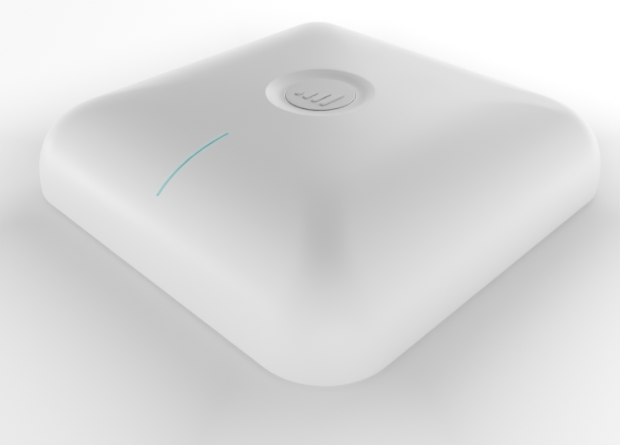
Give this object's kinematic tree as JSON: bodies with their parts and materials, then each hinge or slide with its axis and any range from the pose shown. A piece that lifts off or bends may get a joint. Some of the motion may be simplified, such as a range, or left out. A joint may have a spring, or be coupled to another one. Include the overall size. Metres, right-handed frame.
{
  "type": "ceiling access point",
  "caption": "Square pillow-shaped indoor wireless access point, matt white, with a shallow round dish on top, a thin cyan light bar on one side and a twist-on ceiling plate.",
  "frame": {"origin": "middle of the mounting plate's back face, on the ceiling plane", "axes": "+Z out of the ceiling into the room, -Y to the side with the light bar, +Y to the side with the cable bay"},
  "size_m": [0.155, 0.155, 0.0356],
  "materials": {
    "white_shell": "fine matt moulded white plastic",
    "white_disc": "matt moulded plastic, slightly greyer",
    "tray_plastic": "matt light grey moulded plastic",
    "cyan_light": "milky diffusing plastic, lit from inside",
    "black_plastic": "matt black moulded plastic",
    "plated_steel": "zinc-plated pressed steel",
    "stud_steel": "turned and riveted steel",
    "screw_steel": "nickel-plated steel",
    "board_green": "solder mask over glass laminate",
    "chip_black": "moulded epoxy package",
    "can_tin": "tinned sheet steel",
    "antenna_metal": "stamped tin-brass sheet",
    "sink_aluminium": "die-cast aluminium",
    "pad_grey": "soft thermal pad",
    "contact_gold": "gold-plated spring wire",
    "crystal_can": "small metal can",
    "capacitor_skin": "aluminium can",
    "ferrite_dark": "ground ferrite",
    "led_white": "small lensed light-emitting diode",
    "ceramic_white": "fired ceramic chip",
    "button_grey": "matt grey moulded plastic"
  },
  "bodies": {
    "mount": {"mounting_plate": "plated_steel", "twist_studs": "stud_steel"},
    "access_point": {"antenna_24_left": "antenna_metal", "antenna_24_right": "antenna_metal", "antenna_5_left": "antenna_metal", "antenna_5_right": "antenna_metal", "badge_disc": "white_disc", "base_tray": "tray_plastic", "bluetooth_antenna": "ceramic_white", "board_screws": "screw_steel", "bridge_rectifiers": "chip_black", "capacitors": "capacitor_skin", "case_screws": "screw_steel", "crystals": "crystal_can", "flash_chip": "chip_black", "heat_sink": "sink_aluminium", "heat_sink_screws": "screw_steel", "jack_body": "black_plastic", "jack_contacts": "contact_gold", "jack_shell": "can_tin", "lan_transformer": "chip_black", "light_guide_holder": "black_plastic", "light_pipe": "cyan_light", "main_board": "board_green", "memory_chips": "chip_black", "poe_transformer": "ferrite_dark", "power_inductors": "ferrite_dark", "processor_chip": "chip_black", "processor_shield": "can_tin", "radio_chips": "chip_black", "radio_shield_24": "can_tin", "radio_shield_5": "can_tin", "reset_switch": "black_plastic", "status_leds": "led_white", "thermal_pads": "pad_grey", "top_cover": "white_shell"},
    "button": {"reset_button": "button_grey"}
  },
  "joints": [
    {"name": "twist_lock", "type": "hinge", "parent": "mount", "child": "access_point", "pos_m": [0, 0, 0], "axis": [0, 0, 1], "range_deg": [0, 14]},
    {"name": "reset_press", "type": "slide", "parent": "access_point", "child": "button", "axis": [0, -1, 0], "range_m": [0, 0.0005], "stiffness_N_per_m": 1500, "springref_m": -0.0004}
  ]
}
